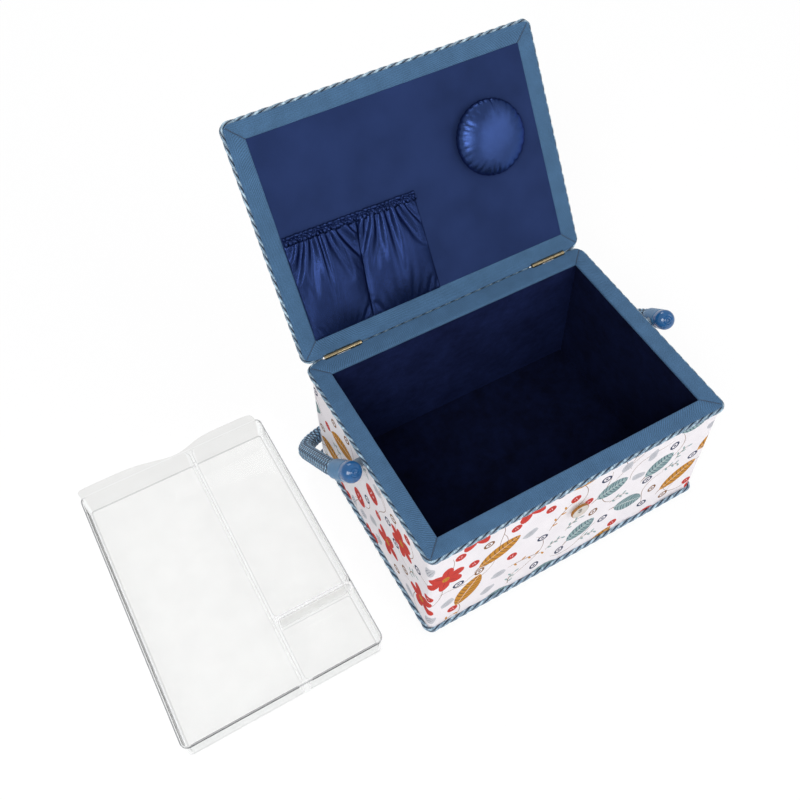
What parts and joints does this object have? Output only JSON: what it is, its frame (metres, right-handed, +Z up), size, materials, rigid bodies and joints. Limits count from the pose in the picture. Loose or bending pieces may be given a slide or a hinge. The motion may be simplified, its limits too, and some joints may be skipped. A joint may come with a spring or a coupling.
{
  "type": "sewing basket",
  "caption": "Cloth-covered rectangular sewing basket with a hinged padded lid, drop handle, lid pocket, pincushion and a clear divided tray beside it.",
  "frame": {"origin": "middle of the box's underside", "axes": "+X along the front to the right, +Y from the front to the hinged back, +Z up"},
  "size_m": [0.5797, 0.3676, 0.3463],
  "materials": {
    "twill": "matt",
    "piping": "satin",
    "print_cloth": "matt",
    "plain_cloth": "matt",
    "navy_lining": "matt",
    "satin": "satin",
    "board": "matt",
    "wadding": "matt",
    "brass": "polished",
    "steel": "brushed",
    "knob_plastic": "gloss",
    "braid": "satin",
    "clear_plastic": "clear gloss"
  },
  "bodies": {
    "box": {"back_board": "board", "back_lining": "navy_lining", "base_board": "board", "base_cover": "plain_cloth", "base_piping": "piping", "closure_button": "clear_plastic", "cover_wrap": "print_cloth", "floor_lining": "navy_lining", "front_board": "board", "front_lining": "navy_lining", "left_board": "board", "left_hinge_box_leaf": "brass", "left_hinge_box_screw_1": "steel", "left_hinge_box_screw_2": "steel", "left_hinge_pin": "steel", "left_lining": "navy_lining", "left_pivot_screw": "steel", "left_washer": "knob_plastic", "right_board": "board", "right_hinge_box_leaf": "brass", "right_hinge_box_screw_1": "steel", "right_hinge_box_screw_2": "steel", "right_hinge_pin": "steel", "right_lining": "navy_lining", "right_pivot_screw": "steel", "right_washer": "knob_plastic", "rim_back_binding": "twill", "rim_front_binding": "twill", "rim_left_binding": "twill", "rim_piping": "piping", "rim_right_binding": "twill"},
    "lid": {"closure_tab": "twill", "left_hinge_lid_leaf": "brass", "left_hinge_lid_screw_1": "steel", "left_hinge_lid_screw_2": "steel", "lid_back_binding": "twill", "lid_board": "board", "lid_cover": "print_cloth", "lid_front_binding": "twill", "lid_left_binding": "twill", "lid_lining": "satin", "lid_pad": "wadding", "lid_piping": "piping", "lid_pocket": "satin", "lid_right_binding": "twill", "pincushion": "satin", "pocket_band": "satin", "right_hinge_lid_leaf": "brass", "right_hinge_lid_screw_1": "steel", "right_hinge_lid_screw_2": "steel"},
    "handle": {"handle_braid": "braid", "left_knob": "knob_plastic", "right_knob": "knob_plastic"},
    "tray": {"tray": "clear_plastic"}
  },
  "joints": [
    {"name": "lid_hinge", "type": "hinge", "parent": "box", "child": "lid", "pos_m": [0, 0.1164, 0.1513], "axis": [1, 0, 0], "range_deg": [0, 122.4]},
    {"name": "handle_hinge", "type": "hinge", "parent": "box", "child": "handle", "pos_m": [0, 0.0056, 0.1381], "axis": [1, 0, 0], "range_deg": [0, 60]},
    {"name": "tray_lift", "type": "slide", "parent": "box", "child": "tray", "axis": [0, 0, 1], "range_m": [0, 0.2]}
  ]
}
